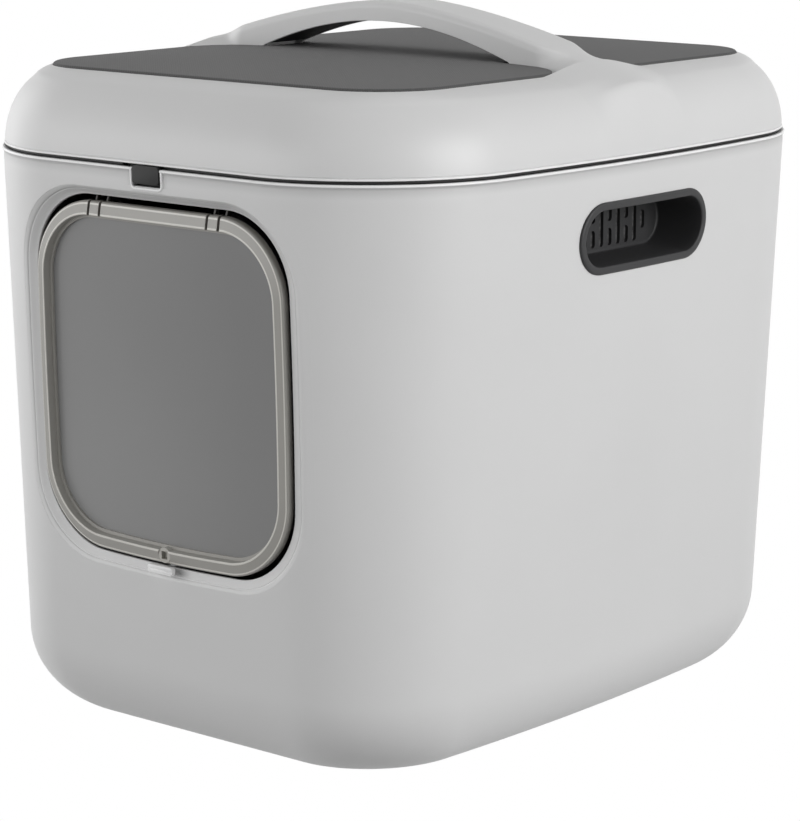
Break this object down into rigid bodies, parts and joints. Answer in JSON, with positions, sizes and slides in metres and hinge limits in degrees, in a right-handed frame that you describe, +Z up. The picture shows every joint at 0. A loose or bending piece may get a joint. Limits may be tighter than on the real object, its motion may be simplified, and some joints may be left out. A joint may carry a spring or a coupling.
{
  "type": "enclosed litter box",
  "caption": "Lidded litter box with a swinging front flap, carrying arch on the hinged lid, latch and filtered hand grips.",
  "frame": {"origin": "centre of the flat underside of the base", "axes": "+Z up, the flap faces -Y, the lid hinges are at +Y, +X to the right seen from behind the flap"},
  "size_m": [0.4018, 0.4922, 0.4587],
  "materials": {
    "shell": "satin light grey",
    "trim": "satin mid grey",
    "dark": "satin charcoal",
    "band": "satin warm grey",
    "panel": "fine woven texture",
    "pane": "smoked, satin",
    "clear": "clear",
    "charcoal": "open felt",
    "steel": "plain"
  },
  "bodies": {
    "base": {"base_tub": "shell", "grip_cup_right": "dark", "grip_cup_left": "dark", "filter_pad_right": "charcoal", "filter_pad_left": "charcoal", "filter_cover_right": "trim", "filter_cover_left": "trim", "flap_clip_right": "trim", "flap_clip_left": "trim", "hinge_bracket_right": "dark", "hinge_bracket_left": "dark", "hinge_pin_right": "steel", "hinge_pin_left": "steel", "bracket_screws": "steel"},
    "flap": {"flap_frame": "band", "flap_pane": "pane", "flap_keeper": "clear", "flap_pin_right": "steel", "flap_pin_left": "steel"},
    "flap_lock": {"flap_lock": "shell", "flap_lock_plate": "dark"},
    "lid": {"lid_cover": "shell", "lid_frame": "dark", "top_panel": "panel", "handle_liner": "dark", "hinge_leaf_right": "dark", "hinge_leaf_left": "dark", "leaf_screws": "steel", "latch_bracket": "dark", "latch_pin": "steel", "latch_spring": "steel"},
    "lid_latch": {"lid_latch": "dark"}
  },
  "joints": [
    {"name": "lid_hinge", "type": "hinge", "parent": "base", "child": "lid", "pos_m": [0, 0.2471, 0.37], "axis": [-1, 0, 0], "range_deg": [0, 100]},
    {"name": "flap_swing", "type": "hinge", "parent": "base", "child": "flap", "pos_m": [0, -0.227, 0.3401], "axis": [1, 0, 0], "range_deg": [-60, 60]},
    {"name": "flap_lock_slide", "type": "slide", "parent": "base", "child": "flap_lock", "axis": [0, 0, 1], "range_m": [0, 0.0022]},
    {"name": "lid_latch_press", "type": "hinge", "parent": "lid", "child": "lid_latch", "pos_m": [0, -0.2311, 0.38], "axis": [1, 0, 0], "range_deg": [0, 6.5], "stiffness_Nm_per_rad": 0.4, "springref_deg": -5.73}
  ]
}
